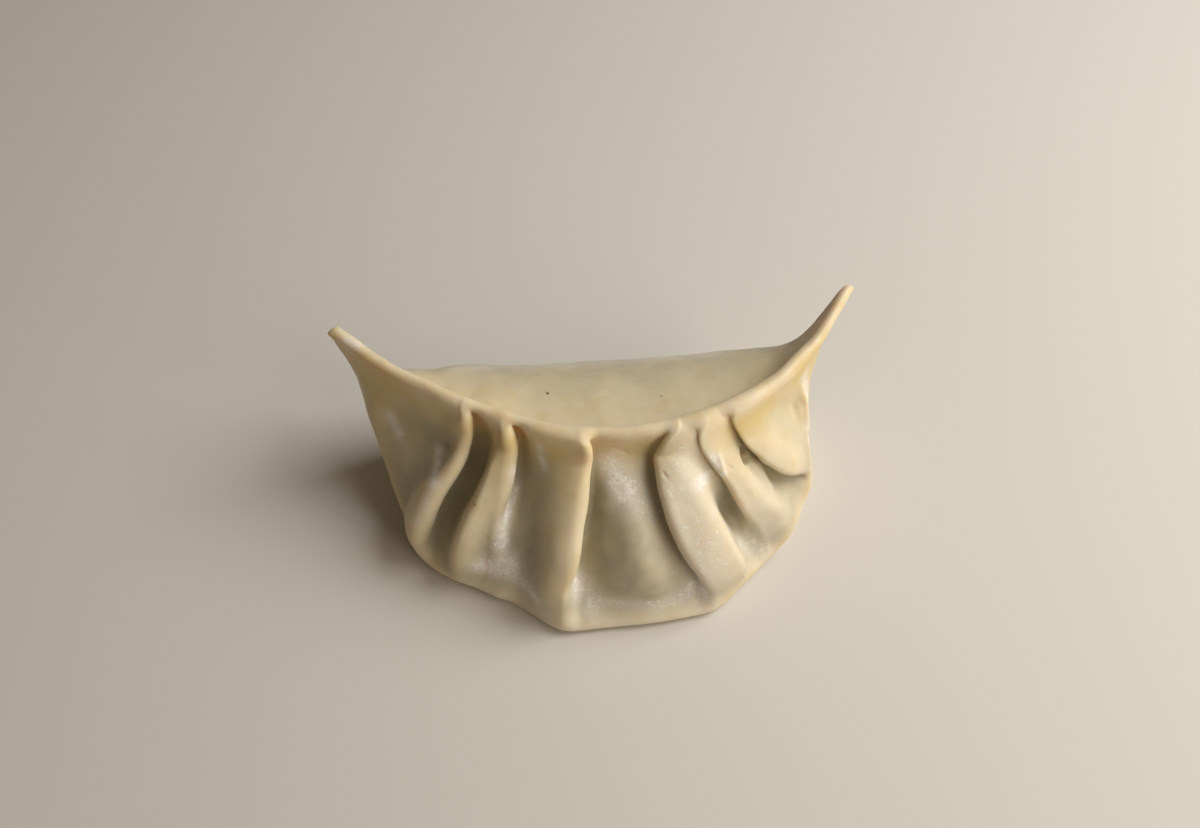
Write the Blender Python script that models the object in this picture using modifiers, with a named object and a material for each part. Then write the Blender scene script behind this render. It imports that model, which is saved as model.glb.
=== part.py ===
"""A pleated gyoza: one hand-made raw dumpling, standing on its flat underside.

The skin is a loft. Ribs run from the pinched rim down the front wall to the front foot, under the
body to the heel, and up the smooth back to the rim again. Six ribs carry pleats: there the skin
doubles back under its own folded edge. Sizes are millimetres until the mesh is made, in metres.

+X runs along the dumpling to its right horn, +Y to its smooth back, +Z up. The origin is the centre
of the bounding box's bottom.
"""

import math

import bmesh
import bpy
import numpy as np

MM = 0.001

# The pinched rim, seen from above, is a bow: it is nearest the front a little off centre, and
# sweeps back on each side by a power law, more sharply on the right.
RIM_LOW_X = 4.5
LEFT_TIP_X, LEFT_SWEEP, LEFT_POWER = -39.3, 25.6, 1.75
RIGHT_TIP_X, RIGHT_SWEEP, RIGHT_POWER = 43.8, 22.4, 2.55
RIM_HEIGHT = 28.0
LEFT_TIP_HEIGHT, RIGHT_TIP_HEIGHT = 26.2, 30.4
RIM_THICKNESS = 2.3
RIM_ROUNDING = 0.9
FIN_HEIGHT = 6.2  # the band under the rim that is pressed flat

# Ribs, from horn to horn: the rim's x, the front foot, the heel, the shoulder that the back wall
# bends round, how far the front wall bulges, and whether the rib stands on the ground (1) or hangs
# from a horn (0).
RIBS = [
    # name, rim x, front foot, heel, shoulder, bulge, grounded
    ("left_tip", -39.3, (-40.1, 25.0, 23.6), (-38.8, 26.4, 23.6), (-38.6, 26.6, 24.6), 0.0, 0.0),
    ("left_horn", -34.5, (-37.0, 20.4, 18.3), (-35.4, 22.4, 18.1), (-34.4, 23.4, 22.0), 0.2, 0.0),
    ("left_wing", -28.5, (-34.4, 11.9, 11.0), (-31.9, 18.8, 8.5), (-31.4, 25.8, 22.0), 0.6, 0.1),
    ("left_end", -22.5, (-32.1, 3.1, 4.2), (-27.3, 17.6, 1.8), (-27.2, 27.6, 22.8), 1.2, 0.9),
    ("pleat_1", -17.8, (-29.1, -4.9, 2.2), (-22.8, 20.8, 1.2), (-21.5, 27.8, 23.2), 2.0, 1.0),
    ("pleat_2", -12.3, (-18.5, -11.6, 1.2), (-17.0, 22.0, 1.2), (-15.5, 27.7, 23.4), 2.4, 1.0),
    ("pleat_3", -1.0, (-5.3, -19.1, 1.2), (-4.5, 22.4, 1.2), (-3.5, 27.5, 23.4), 2.0, 1.0),
    ("belly", 5.5, (5.4, -18.6, 1.2), (5.0, 22.3, 1.2), (5.0, 27.2, 23.4), 3.2, 1.0),
    ("pleat_4", 12.0, (15.4, -17.8, 1.2), (13.0, 22.0, 1.2), (13.0, 26.8, 23.4), 2.2, 1.0),
    ("pleat_5", 15.6, (28.3, -9.8, 1.8), (20.5, 21.4, 1.2), (20.0, 26.4, 23.5), 2.0, 1.0),
    ("pleat_6", 20.7, (35.3, -0.6, 9.4), (28.2, 19.6, 1.4), (28.5, 26.0, 23.7), 1.2, 1.0),
    ("right_wing", 30.0, (35.6, 7.4, 15.5), (33.9, 17.0, 5.0), (35.0, 25.4, 23.6), 0.6, 0.2),
    ("right_horn", 37.0, (37.6, 14.0, 23.7), (36.0, 16.2, 22.5), (35.8, 18.8, 25.0), 0.2, 0.0),
    ("right_tip", 43.8, (44.4, 21.9, 28.0), (43.1, 23.0, 28.0), (43.0, 23.1, 29.0), 0.0, 0.0),
]

# Pleats. `faces` is the side that the folded edge looks to (+1 right, -1 left), and `rise` shapes
# the panel behind the edge: 1 is a plain slope, higher a narrow ridge. The rest are read at five
# places from the rim to the foot: the edge's way sideways across the wall, how far the fold stands
# proud, how deep the skin is tucked under it, and how far the skin sinks beside it.
PLEAT_STATIONS = (0.0, 0.25, 0.5, 0.75, 1.0)
PLEATS = {
    "pleat_1": dict(
        faces=+1, rise=1.2, way=(0.9, 1.6, 2.6, 2.6, 1.0), lift=(0.5, 1.6, 2.4, 1.4, 0.2),
        tuck=(0.0, 1.2, 1.4, 0.5, 0.0), hollow=(0.1, 1.6, 2.4, 1.6, 0.3),
    ),
    "pleat_2": dict(
        faces=+1, rise=2.2, way=(1.2, 2.6, 2.4, 2.2, 0.6), lift=(0.5, 2.0, 2.8, 2.0, 0.3),
        tuck=(0.0, 1.2, 1.2, 0.4, 0.0), hollow=(0.1, 1.2, 1.4, 1.2, 0.4),
    ),
    "pleat_3": dict(
        faces=+1, rise=2.0, way=(1.0, 1.3, 1.1, -0.2, 0.0), lift=(1.2, 2.2, 3.2, 2.8, 1.4),
        tuck=(0.0, 1.2, 1.5, 1.0, 0.0), hollow=(0.0, 1.2, 2.2, 2.0, 0.4),
    ),
    "pleat_4": dict(
        faces=-1, rise=0.9, way=(-1.2, -4.0, -3.9, -0.8, 0.6), lift=(0.5, 2.6, 3.4, 2.4, 0.8),
        tuck=(0.0, 1.6, 1.8, 1.0, 0.0), hollow=(0.1, 1.2, 1.8, 2.0, 0.6),
    ),
    "pleat_5": dict(
        faces=-1, rise=1.0, way=(-1.0, -1.0, -1.8, -1.5, -1.0), lift=(0.5, 1.6, 2.2, 1.6, 0.3),
        tuck=(0.0, 1.2, 1.2, 0.6, 0.0), hollow=(0.0, 0.4, 1.2, 1.4, 0.3),
    ),
    "pleat_6": dict(
        faces=-1, rise=0.9, way=(-1.2, -0.8, -2.8, -2.8, -0.4), lift=(0.5, 2.0, 3.0, 2.8, 1.0),
        tuck=(0.0, 1.4, 1.8, 1.6, 0.0), hollow=(0.1, 1.0, 1.4, 1.6, 0.5),
    ),
}

# One fold, from its flap across the edge and the tuck to the next panel's floor: the distance past
# the edge, and the shares of the tuck, the lift and the hollow.
FOLD = (
    (-1.6, 0.0, 1.00, 0.0),
    (-0.5, 0.0, 1.02, 0.0),
    (0.1, 0.0, 0.62, 0.0),
    (0.15, -1.2, 0.30, 0.4),
    (0.3, -1.1, 0.02, 0.9),
    (0.9, 0.0, 0.0, 1.0),
    (2.6, 0.0, 0.0, 0.7),
)
TOP_SPREAD, SPREAD_GROWTH = 0.5, 1.6  # a fold is narrow under the rim, and widens on its way down

# The rows of the cage, as shares of the way down the front wall, of the way under the body, and of
# the way up the back from the heel to the fin.
FRONT_ROWS = (0.0, 0.12, 0.26, 0.36, 0.47, 0.58, 0.69, 0.80, 0.91, 1.0)
FIN_ROW = 0.26
UNDER_ROWS = (0.07, 0.27, 0.73, 0.93)
BACK_ROWS = (0.0, 0.16, 0.36, 0.56, 0.78, 1.0)
SHOULDER_PULL = 0.72  # how closely the back wall follows its shoulder's corner
BACK_EASE = 3  # rounds of smoothing that spread the pleats' ribs evenly over the back
HOLLOW_REACH = 0.35  # how much of a hollow is left halfway across the panel
SUBDIVISIONS = 1

DOUGH_COLOUR = (0.60, 0.50, 0.33, 1.0)
DOUGH_ROUGHNESS = 0.5

RIB_NAMES = [rib[0] for rib in RIBS]
LAST_RIB = len(RIBS) - 1


def spline(xs, ys, x):
    """A smooth curve through the points (xs, ys), read at x, that never overshoots."""
    xs, ys = np.asarray(xs, float), np.asarray(ys, float)
    step = np.diff(xs)
    slope = np.diff(ys) / step
    tangent = np.zeros(len(xs))
    for i in range(1, len(xs) - 1):
        if slope[i] * slope[i - 1] > 0:
            tangent[i] = 2 * slope[i] * slope[i - 1] / (slope[i] + slope[i - 1])
    tangent[0], tangent[-1] = slope[0], slope[-1]
    x = min(max(x, xs[0]), xs[-1])
    k = min(int(np.searchsorted(xs, x, side="right")) - 1, len(step) - 1)
    u = (x - xs[k]) / step[k]
    return (
        (1 + 2 * u) * (1 - u) ** 2 * ys[k]
        + u * (1 - u) ** 2 * step[k] * tangent[k]
        + u * u * (3 - 2 * u) * ys[k + 1]
        - u * u * (1 - u) * step[k] * tangent[k + 1]
    )


def rim_point(x):
    """The middle of the rim's top edge at x."""
    if x < RIM_LOW_X:
        share = (RIM_LOW_X - x) / (RIM_LOW_X - LEFT_TIP_X)
        back, rise = LEFT_SWEEP * share**LEFT_POWER, (LEFT_TIP_HEIGHT - RIM_HEIGHT) * share
    else:
        share = (x - RIM_LOW_X) / (RIGHT_TIP_X - RIM_LOW_X)
        back, rise = RIGHT_SWEEP * share**RIGHT_POWER, (RIGHT_TIP_HEIGHT - RIM_HEIGHT) * share
    return np.array([x, back, RIM_HEIGHT + rise])


def rim_outward(x):
    """The level direction from the rim to the front, square to the rim."""
    along = rim_point(x + 0.1) - rim_point(x - 0.1)
    out = np.array([along[1], -along[0], 0.0])
    return out / np.linalg.norm(out)


def rib_value(q, item):
    """A rib's number or point, read between ribs at q."""
    first = RIBS[0][item]
    places = range(len(RIBS))
    if isinstance(first, tuple):
        return np.array([spline(places, [rib[item][axis] for rib in RIBS], q) for axis in range(3)])
    return spline(places, [rib[item] for rib in RIBS], q)


def front_wall(q, t):
    """The front wall without its pleats, at rib q and share t of the way from rim to foot."""
    x = rib_value(q, 1)
    top, foot = rim_point(x), rib_value(q, 2)
    face = top + rim_outward(x) * RIM_THICKNESS / 2
    tall = top[2] - foot[2]
    rounding, drop = min(RIM_ROUNDING, 0.3 * tall), min(FIN_HEIGHT, 0.4 * tall)
    fin_foot = face + (foot - face) * 0.05
    fin_foot[2] = top[2] - drop
    if t < FIN_ROW:
        share = t / FIN_ROW
        point = face + (fin_foot - face) * share
        point[2] = top[2] - rounding - (drop - rounding) * share
        return point
    share = (t - FIN_ROW) / (1 - FIN_ROW)
    chord = foot - fin_foot
    level = np.array([chord[0], chord[1], 0.0])
    length = np.linalg.norm(level) + 1e-9
    normal = np.array([-chord[2] * level[0] / length, -chord[2] * level[1] / length, length])
    normal /= np.linalg.norm(normal)
    return fin_foot + chord * share + normal * rib_value(q, 5) * math.sin(math.pi * share**1.15)


def wall_frame(q, t):
    """The sideways and outward unit directions on the front wall."""
    across = front_wall(min(q + 0.05, LAST_RIB), t) - front_wall(max(q - 0.05, 0), t)
    down = front_wall(q, min(t + 0.03, 1.0)) - front_wall(q, max(t - 0.03, 0.0))
    across /= np.linalg.norm(across)
    outward = np.cross(down, across)
    outward /= np.linalg.norm(outward)
    return across, outward


def columns():
    """Every column of the cage: its place among the ribs, its pleat's name, its place in FOLD."""
    found = [(0.0, None, None)]
    for i, name in enumerate(RIB_NAMES):
        if name in PLEATS:
            order = range(len(FOLD)) if PLEATS[name]["faces"] > 0 else reversed(range(len(FOLD)))
            found.extend((float(i), name, k) for k in order)
        elif 0 < i < LAST_RIB:
            found.append((float(i), None, None))
        if i < LAST_RIB:
            found.append((i + 0.5, None, None))
    found.append((float(LAST_RIB), None, None))
    return found


def read_pleat(pleat, item, t):
    return spline(PLEAT_STATIONS, pleat[item], t)


def neighbours(q):
    """The pleats on the left and right of q, where there are any, and the share of the way over."""
    low = int(math.floor(q))
    names = RIB_NAMES[low], RIB_NAMES[min(low + 1, LAST_RIB)]
    return PLEATS.get(names[0]), PLEATS.get(names[1]), q - low


def panel_lift(q, t):
    """How far the skin between pleats stands out: from the hollow by one fold up to the next edge."""
    left, right, share = neighbours(q)
    lift = 0.0
    if right and right["faces"] > 0:
        lift += read_pleat(right, "lift", t) * share ** right["rise"]
    if left and left["faces"] < 0:
        lift += read_pleat(left, "lift", t) * (1 - share) ** left["rise"]
    if left and left["faces"] > 0:
        lift -= read_pleat(left, "hollow", t) * HOLLOW_REACH * (1 - share)
    if right and right["faces"] < 0:
        lift -= read_pleat(right, "hollow", t) * HOLLOW_REACH * share
    return lift


def panel_way(q, t):
    """How far the skin between pleats is drawn sideways, along with the edges beside it."""
    left, right, share = neighbours(q)
    way = read_pleat(left, "way", t) * (1 - share) if left else 0.0
    return way + (read_pleat(right, "way", t) * share if right else 0.0)


def front_point(column, t):
    q, name, k = column
    point = front_wall(q, t)
    across, outward = wall_frame(q, t)
    if name is None:
        return point + across * panel_way(q, t) + outward * panel_lift(q, t)
    pleat = PLEATS[name]
    past, tucked, lifted, sunk = FOLD[k]
    spread = min(1.0, TOP_SPREAD + SPREAD_GROWTH * t)
    sideways = pleat["faces"] * (past * spread + tucked * read_pleat(pleat, "tuck", t))
    sideways += read_pleat(pleat, "way", t)
    height = read_pleat(pleat, "lift", t) * lifted - read_pleat(pleat, "hollow", t) * sunk
    return point + across * sideways + outward * height


def under_points(q):
    """The way under the body, from near the front foot to near the heel."""
    foot, heel, grounded = rib_value(q, 2), rib_value(q, 3), rib_value(q, 6)
    points = []
    for share in UNDER_ROWS:
        point = foot + (heel - foot) * share
        point[2] = (1 - grounded) * (point[2] - 0.4)
        points.append(point)
    return points


def back_points(q):
    """The way up the back wall, from the heel round the shoulder to the fin and the rim."""
    x = rib_value(q, 1)
    top, heel, shoulder = rim_point(x), rib_value(q, 3), rib_value(q, 4)
    face = top - rim_outward(x) * RIM_THICKNESS / 2
    tall = top[2] - rib_value(q, 2)[2]
    fin_foot = face - np.array([0, 0, min(FIN_HEIGHT, 0.4 * tall)])
    low = heel + (shoulder - heel) * SHOULDER_PULL
    high = fin_foot + (shoulder - fin_foot) * SHOULDER_PULL
    points = []
    for u in BACK_ROWS:
        v = 1 - u
        points.append(v**3 * heel + 3 * v * v * u * low + 3 * v * u * u * high + u**3 * fin_foot)
    rounding = min(RIM_ROUNDING, 0.3 * tall)
    edge = face - np.array([0, 0, rounding])
    points += [(fin_foot + edge) / 2, edge]
    return points


def section(column, q_back):
    """The closed ring of points of one column, from the rim's top down the front and up the back."""
    top = rim_point(rib_value(q_back, 1)) + np.array([0, 0, 0.25])
    ring = [top]
    ring += [front_point(column, t) for t in FRONT_ROWS]
    ring += under_points(q_back)
    ring += back_points(q_back)
    return ring


def eased(values):
    values = np.array(values, float)
    for _ in range(BACK_EASE):
        values[1:-1] = 0.25 * values[:-2] + 0.5 * values[1:-1] + 0.25 * values[2:]
    return values


def build_cage():
    cage = columns()
    return np.array([section(c, q) for c, q in zip(cage, eased([c[0] for c in cage]))])


def make_mesh(rings):
    """Skins the rings with quads, closes both horn tips, and returns the mesh in metres."""
    bm = bmesh.new()
    grid = [[bm.verts.new(point * MM) for point in ring] for ring in rings]
    count = len(grid[0])
    for left, right in zip(grid, grid[1:]):
        for j in range(count):
            k = (j + 1) % count
            bm.faces.new((left[j], left[k], right[k], right[j]))
    bm.faces.new(grid[0][::-1])
    bm.faces.new(grid[-1])
    bmesh.ops.recalc_face_normals(bm, faces=bm.faces)
    mesh = bpy.data.meshes.new("cage")
    bm.to_mesh(mesh)
    bm.free()
    return mesh


def make_dough():
    material = bpy.data.materials.new("raw_dough")
    material.use_nodes = True
    shader = material.node_tree.nodes["Principled BSDF"]
    shader.inputs["Base Color"].default_value = DOUGH_COLOUR
    shader.inputs["Roughness"].default_value = DOUGH_ROUGHNESS
    shader.inputs["Metallic"].default_value = 0.0
    return material


def rounded(cage):
    """The mesh of the cage once its Subdivision Surface has rounded it."""
    obj = bpy.data.objects.new("cage", cage)
    bpy.context.scene.collection.objects.link(obj)
    modifier = obj.modifiers.new("Subdivision", "SUBSURF")
    modifier.levels = modifier.render_levels = SUBDIVISIONS
    graph = bpy.context.evaluated_depsgraph_get()
    mesh = bpy.data.meshes.new_from_object(obj.evaluated_get(graph))
    bpy.data.objects.remove(obj)
    return mesh


def centre(mesh):
    """Moves the mesh so that the origin is the centre of its box's bottom."""
    points = np.array([vertex.co for vertex in mesh.vertices])
    low, high = points.min(axis=0), points.max(axis=0)
    middle = (low + high) / 2
    middle[2] = low[2]
    for vertex, point in zip(mesh.vertices, points - middle):
        vertex.co = point


def main():
    for obj in list(bpy.data.objects):
        bpy.data.objects.remove(obj)
    mesh = rounded(make_mesh(build_cage()))
    mesh.name = "gyoza"
    centre(mesh)
    mesh.shade_smooth()
    mesh.materials.append(make_dough())
    collection = bpy.data.collections.new("gyoza")
    bpy.context.scene.collection.children.link(collection)
    collection.objects.link(bpy.data.objects.new("gyoza", mesh))


main()
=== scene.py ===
# %% [markdown]
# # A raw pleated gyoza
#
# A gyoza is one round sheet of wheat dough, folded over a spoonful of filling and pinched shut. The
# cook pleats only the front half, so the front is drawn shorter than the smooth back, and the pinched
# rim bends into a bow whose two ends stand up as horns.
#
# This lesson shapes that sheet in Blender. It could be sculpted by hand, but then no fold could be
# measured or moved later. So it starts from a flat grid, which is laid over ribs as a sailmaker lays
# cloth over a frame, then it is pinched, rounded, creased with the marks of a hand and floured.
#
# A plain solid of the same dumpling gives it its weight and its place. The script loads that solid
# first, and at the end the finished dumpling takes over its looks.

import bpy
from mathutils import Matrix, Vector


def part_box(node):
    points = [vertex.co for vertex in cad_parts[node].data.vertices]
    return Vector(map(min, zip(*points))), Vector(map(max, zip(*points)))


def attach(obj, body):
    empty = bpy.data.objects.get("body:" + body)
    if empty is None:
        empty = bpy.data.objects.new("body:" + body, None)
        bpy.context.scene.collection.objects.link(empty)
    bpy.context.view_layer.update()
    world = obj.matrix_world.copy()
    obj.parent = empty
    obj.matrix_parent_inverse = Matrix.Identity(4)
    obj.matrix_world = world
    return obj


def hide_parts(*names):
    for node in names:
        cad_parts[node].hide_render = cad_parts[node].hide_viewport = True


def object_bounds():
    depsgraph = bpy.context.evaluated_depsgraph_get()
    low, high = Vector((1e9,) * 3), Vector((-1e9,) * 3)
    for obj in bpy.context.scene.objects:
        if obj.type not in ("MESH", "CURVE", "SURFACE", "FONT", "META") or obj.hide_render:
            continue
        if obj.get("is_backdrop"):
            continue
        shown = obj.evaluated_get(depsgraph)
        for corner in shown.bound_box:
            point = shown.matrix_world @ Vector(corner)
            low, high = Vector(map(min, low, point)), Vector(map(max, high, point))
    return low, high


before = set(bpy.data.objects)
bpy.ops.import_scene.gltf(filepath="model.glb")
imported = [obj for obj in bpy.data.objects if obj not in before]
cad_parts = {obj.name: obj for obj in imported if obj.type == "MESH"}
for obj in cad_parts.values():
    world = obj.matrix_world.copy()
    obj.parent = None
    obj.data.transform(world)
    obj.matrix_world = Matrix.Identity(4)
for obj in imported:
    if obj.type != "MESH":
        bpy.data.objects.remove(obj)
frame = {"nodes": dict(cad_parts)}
frame_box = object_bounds()
print("the plain model holds", ", ".join(frame["nodes"]))

# %% Tools and units
import math

import bpy
import numpy as np
from mathutils import Vector

MM = 0.001
SOLID = "gyoza"
low, high = (np.array(corner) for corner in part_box(SOLID))
# The middle of the solid's underside, in metres.
STAND = np.array([(low[0] + high[0]) / 2, (low[1] + high[1]) / 2, low[2]])
print("the plain solid spans", np.round((high - low) / MM, 1), "mm and stands at", STAND)

# %% [markdown]
# ## Curves through a few places
#
# A maker measures a dumpling at a few places and lets the dough run smoothly between them. A curve
# that passes through each measured value and never swings past it does the same. A Bezier curve would
# need its handles set by hand, so here the slope at each place is the harmonic mean of the slopes
# beside it, which is what keeps the curve from overshooting.


# %% A smooth curve through measured places
def smooth_curve(places, values):
    """A function that reads the curve through (places, values) at any place."""
    places, values = np.asarray(places, float), np.asarray(values, float)
    step = np.diff(places)
    slope = (np.diff(values, axis=0).T / step).T
    tangent = np.zeros_like(values)
    both = slope[1:] * slope[:-1]
    total = np.where(both > 0, slope[1:] + slope[:-1], 1.0)
    tangent[1:-1] = np.where(both > 0, 2 * both / total, 0.0)
    tangent[0], tangent[-1] = slope[0], slope[-1]

    def read(place):
        place = np.clip(place, places[0], places[-1])
        span = np.clip(np.searchsorted(places, place, side="right") - 1, 0, len(step) - 1)
        share, run = (place - places[span]) / step[span], step[span]
        if values.ndim > 1:
            share, run = share[..., None], run[..., None]
        rest = 1 - share
        return (
            (1 + 2 * share) * rest**2 * values[span]
            + share * rest**2 * run * tangent[span]
            + share**2 * (1 + 2 * rest) * values[span + 1]
            - share**2 * rest * run * tangent[span + 1]
        )

    return read


def smooth_step(share):
    """0 up to share 0, 1 from share 1 on, and a soft rise between them."""
    share = np.clip(share, 0, 1)
    return share * share * (3 - 2 * share)


print("halfway up a step of 0, 1, 1:", float(smooth_curve((0, 1, 2), (0, 1, 1))(0.5)))

# %% [markdown]
# ## The pinched rim
#
# Both halves of the sheet meet in the rim, which is about two sheets thick, 2.4 mm. Seen from above
# it is a bow that comes nearest the front a little right of the middle. The left horn sweeps back
# gently and droops, and the right one turns back sharply and stands a little higher. It could be drawn
# as a curve object, but everything else hangs from it, so it is a formula: the sweep to the back grows
# as a power of the distance from that nearest place, and a higher power turns more sharply.

# %% The rim, in millimetres
# The rim comes nearest the front at this x, and a sweep is how far back a tip lies from there.
RIM_FRONT_X = 4.5
LEFT_TIP_X, LEFT_SWEEP, LEFT_POWER = -39.3, 25.6, 1.75
RIGHT_TIP_X, RIGHT_SWEEP, RIGHT_POWER = 43.2, 22.4, 2.55
RIM_HEIGHT, LEFT_TIP_HEIGHT, RIGHT_TIP_HEIGHT = 28.0, 26.2, 30.4
RIM_THICKNESS, RIM_ROUNDING, RIM_CROWN = 2.4, 0.6, 0.15
# The rim starts to thin this far to either side of there, and thins over this run, by this much.
HORNS_FROM, HORN_RUN, LEFT_THINNING, RIGHT_THINNING = 20.0, 18.0, 0.25, 0.7
NEARBY = 0.1


def rim_point(x):
    """The middle of the rim's top edge at each x."""
    left = np.clip((RIM_FRONT_X - x) / (RIM_FRONT_X - LEFT_TIP_X), 0, None)
    right = np.clip((x - RIM_FRONT_X) / (RIGHT_TIP_X - RIM_FRONT_X), 0, None)
    back = LEFT_SWEEP * left**LEFT_POWER + RIGHT_SWEEP * right**RIGHT_POWER
    rise = (LEFT_TIP_HEIGHT - RIM_HEIGHT) * left + (RIGHT_TIP_HEIGHT - RIM_HEIGHT) * right
    return np.stack([x, back, RIM_HEIGHT + rise], axis=-1)


def unit(vectors):
    """The same directions, each one long."""
    return vectors / np.linalg.norm(vectors, axis=-1, keepdims=True)


def rim_outward(x):
    """The level direction from the rim to the front, square to the rim."""
    along = rim_point(x + NEARBY) - rim_point(x - NEARBY)
    return unit(np.stack([along[..., 1], -along[..., 0], 0 * x], axis=-1))


def rim_half(x):
    """Half the thickness of the rim, which thins toward its horns."""
    thinning = np.where(x < RIM_FRONT_X, LEFT_THINNING, RIGHT_THINNING)
    return (RIM_THICKNESS - thinning * smooth_step((abs(x - RIM_FRONT_X) - HORNS_FROM) / HORN_RUN)) / 2


print("the bow is", round(float(rim_point(np.array(LEFT_TIP_X))[1]), 1), "mm deep on its left")

# %% [markdown]
# ## Ribs
#
# Fourteen ribs carry the sheet from horn to horn. Each runs from the rim down the front wall to the
# front foot, under the body to the heel, and up the back round a shoulder to the rim again. Six of
# them carry a pleat. A rib that is not grounded hangs free, as the horns do. Ribs are used because a
# dumpling is irregular: no turned or mirrored shape fits it, but a few measured sections do.

# %% The ribs, in millimetres
RIBS = {
    # name: rim x, front foot, heel, shoulder, bulge of the front wall, grounded, lip, groove
    "left_tip": (
        LEFT_TIP_X, (LEFT_TIP_X, LEFT_SWEEP, 24.0), (-38.6, 26.5, 24.0), (-38.6, 26.6, 24.8),
        0.0, 0.0, 0, 0,
    ),
    "left_horn": (-34.5, (-36.0, 20.4, 17.8), (-34.8, 22.5, 18.3), (-34.4, 23.4, 22.0), 0.2, 0.0, 0, 0),
    "left_wing": (-28.5, (-33.7, 12.1, 11.0), (-31.5, 18.8, 8.5), (-31.4, 25.8, 22.0), 0.6, 0.1, 0, 0),
    "left_end": (-22.5, (-30.8, 3.3, 4.2), (-27.3, 17.6, 1.8), (-27.2, 28.4, 22.8), 1.2, 0.9, 0, 0),
    "pleat_1": (-17.8, (-27.8, -4.6, 1.8), (-22.8, 20.8, 1.2), (-21.5, 29.0, 23.2), 2.0, 1.0, 0, 0),
    "pleat_2": (-12.3, (-18.4, -10.8, 1.2), (-17.0, 22.0, 1.2), (-15.5, 28.9, 23.4), 2.4, 1.0, 0.3, 0),
    "pleat_3": (-1.0, (-4.9, -19.1, 1.2), (-4.5, 22.4, 1.2), (-3.5, 28.3, 23.4), 2.0, 1.0, 0.4, 0.5),
    "belly": (5.5, (5.4, -19.0, 1.2), (5.0, 22.3, 1.2), (5.0, 28.1, 23.4), 3.2, 1.0, 1.5, 1.3),
    "pleat_4": (12.0, (15.6, -18.3, 1.2), (13.0, 22.0, 1.2), (13.0, 27.8, 23.4), 2.2, 1.0, 0.6, 0.5),
    "pleat_5": (15.6, (27.1, -10.0, 2.0), (20.5, 21.4, 1.2), (20.0, 27.7, 23.5), 2.0, 1.0, 0, 0),
    "pleat_6": (20.7, (35.4, -0.9, 9.6), (28.2, 19.6, 1.4), (28.5, 27.9, 23.7), 1.2, 1.0, 0, 0),
    "right_wing": (30.0, (35.0, 7.5, 15.5), (33.9, 17.0, 5.0), (35.0, 26.0, 23.6), 0.6, 0.2, 0, 0),
    "right_horn": (37.0, (36.7, 14.8, 26.4), (35.8, 16.2, 25.4), (35.8, 18.2, 26.6), 0.2, 0.0, 0, 0),
    "right_tip": (
        RIGHT_TIP_X, (RIGHT_TIP_X, RIGHT_SWEEP, 28.3), (42.4, 23.1, 28.3), (42.6, 23.1, 29.2),
        0.0, 0.0, 0, 0,
    ),
}
RIB_NAMES = list(RIBS)
LAST_RIB = len(RIBS) - 1
rib_x, rib_foot, rib_heel, rib_shoulder, rib_bulge, rib_grounded, rib_lip, rib_groove = (
    smooth_curve(range(len(RIBS)), measures) for measures in zip(*RIBS.values())
)
print(len(RIBS), "ribs:", ", ".join(RIB_NAMES))

# %% [markdown]
# ## The front wall without its pleats
#
# Under the rim the two sheets are pressed flat into a fin, six millimetres tall. Below the fin the
# wall leans out to the foot and bulges over the filling. Two shallow hollows follow it sideways: one
# under the lip of the rim, and a groove just above the foot, where the dough spreads on the board.
#
# The wall is worked out without its pleats first, because a fold is easiest to measure from a smooth
# wall. `DOWN` holds its rows, as shares of the way from the rim to the foot. A place counts ribs, so
# 4.5 is halfway between the ribs 4 and 5.

# %% The wall at any place between the ribs
DOWN = np.array((
    0.0, 0.05, 0.10, 0.15, 0.20, 0.25, 0.29, 0.33, 0.37, 0.41, 0.45, 0.49, 0.53,
    0.57, 0.61, 0.65, 0.69, 0.73, 0.77, 0.81, 0.85, 0.89, 0.93, 0.965, 1.0,
))
FIN_HEIGHT, FIN_SHARE, FIN_LEAN = 6.2, 0.26, 0.05
# Toward the tips the wall is too short for a whole fin, so both are at most these shares of its height.
SHORT_FIN, SHORT_ROUNDING = 0.4, 0.3
# Above 1, the bulge hangs lower.
BULGE_SKEW = 1.15
LIP_AT, LIP_REACH = 0.17, 0.09
GROOVE_AT, GROOVE_REACH = 0.90, 0.05
# Rounds of easing, which soften the bend between the fin and the belly.
WALL_EASE = 8


def bump(values, middle, reach):
    """A smooth hump, 1 at the middle and almost 0 two reaches away."""
    return np.exp(-(((values - middle) / reach) ** 2))


def eased(values, rounds):
    """The values with each one drawn toward its neighbours, and the ends kept."""
    values = np.array(values, float)
    for _ in range(rounds):
        values[1:-1] = 0.25 * values[:-2] + 0.5 * values[1:-1] + 0.25 * values[2:]
    return values


def rim_drops(tall):
    """How far below the rim its rounding ends, and its fin. Both are less where the wall is short."""
    return np.minimum(RIM_ROUNDING, SHORT_ROUNDING * tall), np.minimum(FIN_HEIGHT, SHORT_FIN * tall)


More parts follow.
